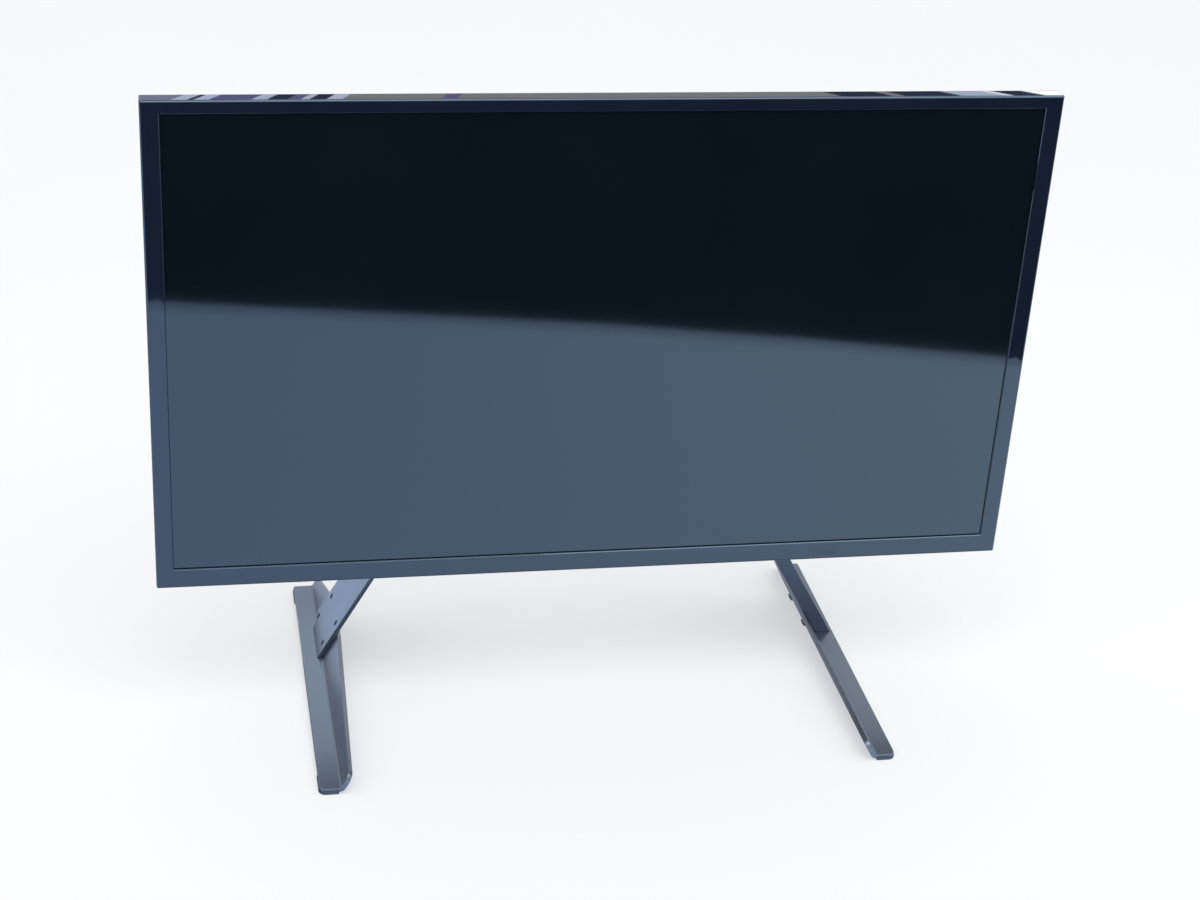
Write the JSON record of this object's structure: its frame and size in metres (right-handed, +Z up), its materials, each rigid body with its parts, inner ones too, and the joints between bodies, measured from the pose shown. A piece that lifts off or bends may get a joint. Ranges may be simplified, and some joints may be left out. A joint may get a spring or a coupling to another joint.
{
  "type": "flat screen tv",
  "caption": "Flat screen television with a glossy black bezel, thick-backed moulded case and sprung rear buttons, standing on two splayed legs of folded steel.",
  "frame": {"origin": "on the floor, under the middle of the set's width and of the feet's length", "axes": "+X to the right as seen from the front, +Y from the screen to the back, +Z up"},
  "size_m": [0.9226, 0.4036, 0.6757],
  "materials": {
    "bezel_gloss": "piano black, high gloss",
    "screen_glass": "dark semi-gloss polariser",
    "ir_lens": "dark smoked red",
    "cover_plastic": "fine textured black",
    "button_plastic": "satin black",
    "inner_plastic": "plain black moulding",
    "foam": "soft foam",
    "white_sheet": "white optical film",
    "light_guide": "clear acrylic",
    "led_strip": "white printed strip",
    "chassis_steel": "galvanised sheet",
    "signal_board": "green solder mask",
    "power_board": "tan laminate",
    "cooler": "extruded",
    "coil_tape": "yellow tape",
    "capacitor_sleeve": "shrink sleeve",
    "ribbon": "flat flexible cable",
    "wire_white": "insulated wire",
    "wire_red": "insulated wire",
    "wire_black": "insulated wire",
    "socket_metal": "nickel plated",
    "antenna_metal": "nickel plated brass",
    "pin_metal": "nickel plated brass",
    "screw_steel": "zinc plated",
    "column_steel": "zinc plated",
    "stand_paint": "satin dark grey",
    "bolt_steel": "black oxide",
    "pad_rubber": "moulded rubber"
  },
  "bodies": {
    "set": {"front_bezel": "bezel_gloss", "ir_window": "ir_lens", "panel_gasket": "foam", "lcd_panel": "screen_glass", "mid_frame": "inner_plastic", "diffuser_sheet": "white_sheet", "light_guide_plate": "light_guide", "reflector_sheet": "white_sheet", "led_bar": "led_strip", "backlight_chassis": "chassis_steel", "chassis_screws": "screw_steel", "rear_cover": "cover_plastic", "cover_screws": "bolt_steel", "main_board": "signal_board", "main_heatsink": "cooler", "power_board": "power_board", "power_transformer": "coil_tape", "bulk_capacitors": "capacitor_sleeve", "tcon_board": "signal_board", "ir_board": "signal_board", "key_board": "signal_board", "board_screws": "screw_steel", "speaker_box_left": "inner_plastic", "speaker_box_right": "inner_plastic", "speaker_driver_left": "inner_plastic", "speaker_driver_right": "inner_plastic", "lvds_cable": "ribbon", "power_harness": "wire_white", "led_cable": "wire_white", "speaker_leads": "wire_red", "ac_lead": "wire_black", "terminal_panel": "cover_plastic", "hdmi_sockets": "socket_metal", "usb_socket": "socket_metal", "antenna_socket": "antenna_metal", "audio_jack": "inner_plastic", "ac_inlet": "inner_plastic", "ac_pins": "pin_metal", "vesa_standoffs": "column_steel", "neck_bosses": "column_steel", "vesa_rail_left": "stand_paint", "vesa_rail_right": "stand_paint", "vesa_bolts": "bolt_steel", "upright_left": "stand_paint", "upright_right": "stand_paint", "upper_bolts": "bolt_steel", "foot_left": "stand_paint", "foot_right": "stand_paint", "lower_bolts": "bolt_steel", "foot_pads": "pad_rubber"},
    "power_button": {"power_button": "button_plastic"},
    "home_button": {"home_button": "button_plastic"},
    "input_button": {"input_button": "button_plastic"},
    "volume_up_button": {"volume_up_button": "button_plastic"},
    "volume_down_button": {"volume_down_button": "button_plastic"},
    "channel_up_button": {"channel_up_button": "button_plastic"},
    "channel_down_button": {"channel_down_button": "button_plastic"}
  },
  "joints": [
    {"name": "power_press", "type": "slide", "parent": "set", "child": "power_button", "axis": [0, -1, 0], "range_m": [0, 0.001], "stiffness_N_per_m": 800},
    {"name": "home_press", "type": "slide", "parent": "set", "child": "home_button", "axis": [0, -1, 0], "range_m": [0, 0.001], "stiffness_N_per_m": 800},
    {"name": "input_press", "type": "slide", "parent": "set", "child": "input_button", "axis": [0, -1, 0], "range_m": [0, 0.001], "stiffness_N_per_m": 800},
    {"name": "volume_up_press", "type": "slide", "parent": "set", "child": "volume_up_button", "axis": [0, -1, 0], "range_m": [0, 0.001], "stiffness_N_per_m": 800},
    {"name": "volume_down_press", "type": "slide", "parent": "set", "child": "volume_down_button", "axis": [0, -1, 0], "range_m": [0, 0.001], "stiffness_N_per_m": 800},
    {"name": "channel_up_press", "type": "slide", "parent": "set", "child": "channel_up_button", "axis": [0, -1, 0], "range_m": [0, 0.001], "stiffness_N_per_m": 800},
    {"name": "channel_down_press", "type": "slide", "parent": "set", "child": "channel_down_button", "axis": [0, -1, 0], "range_m": [0, 0.001], "stiffness_N_per_m": 800}
  ]
}
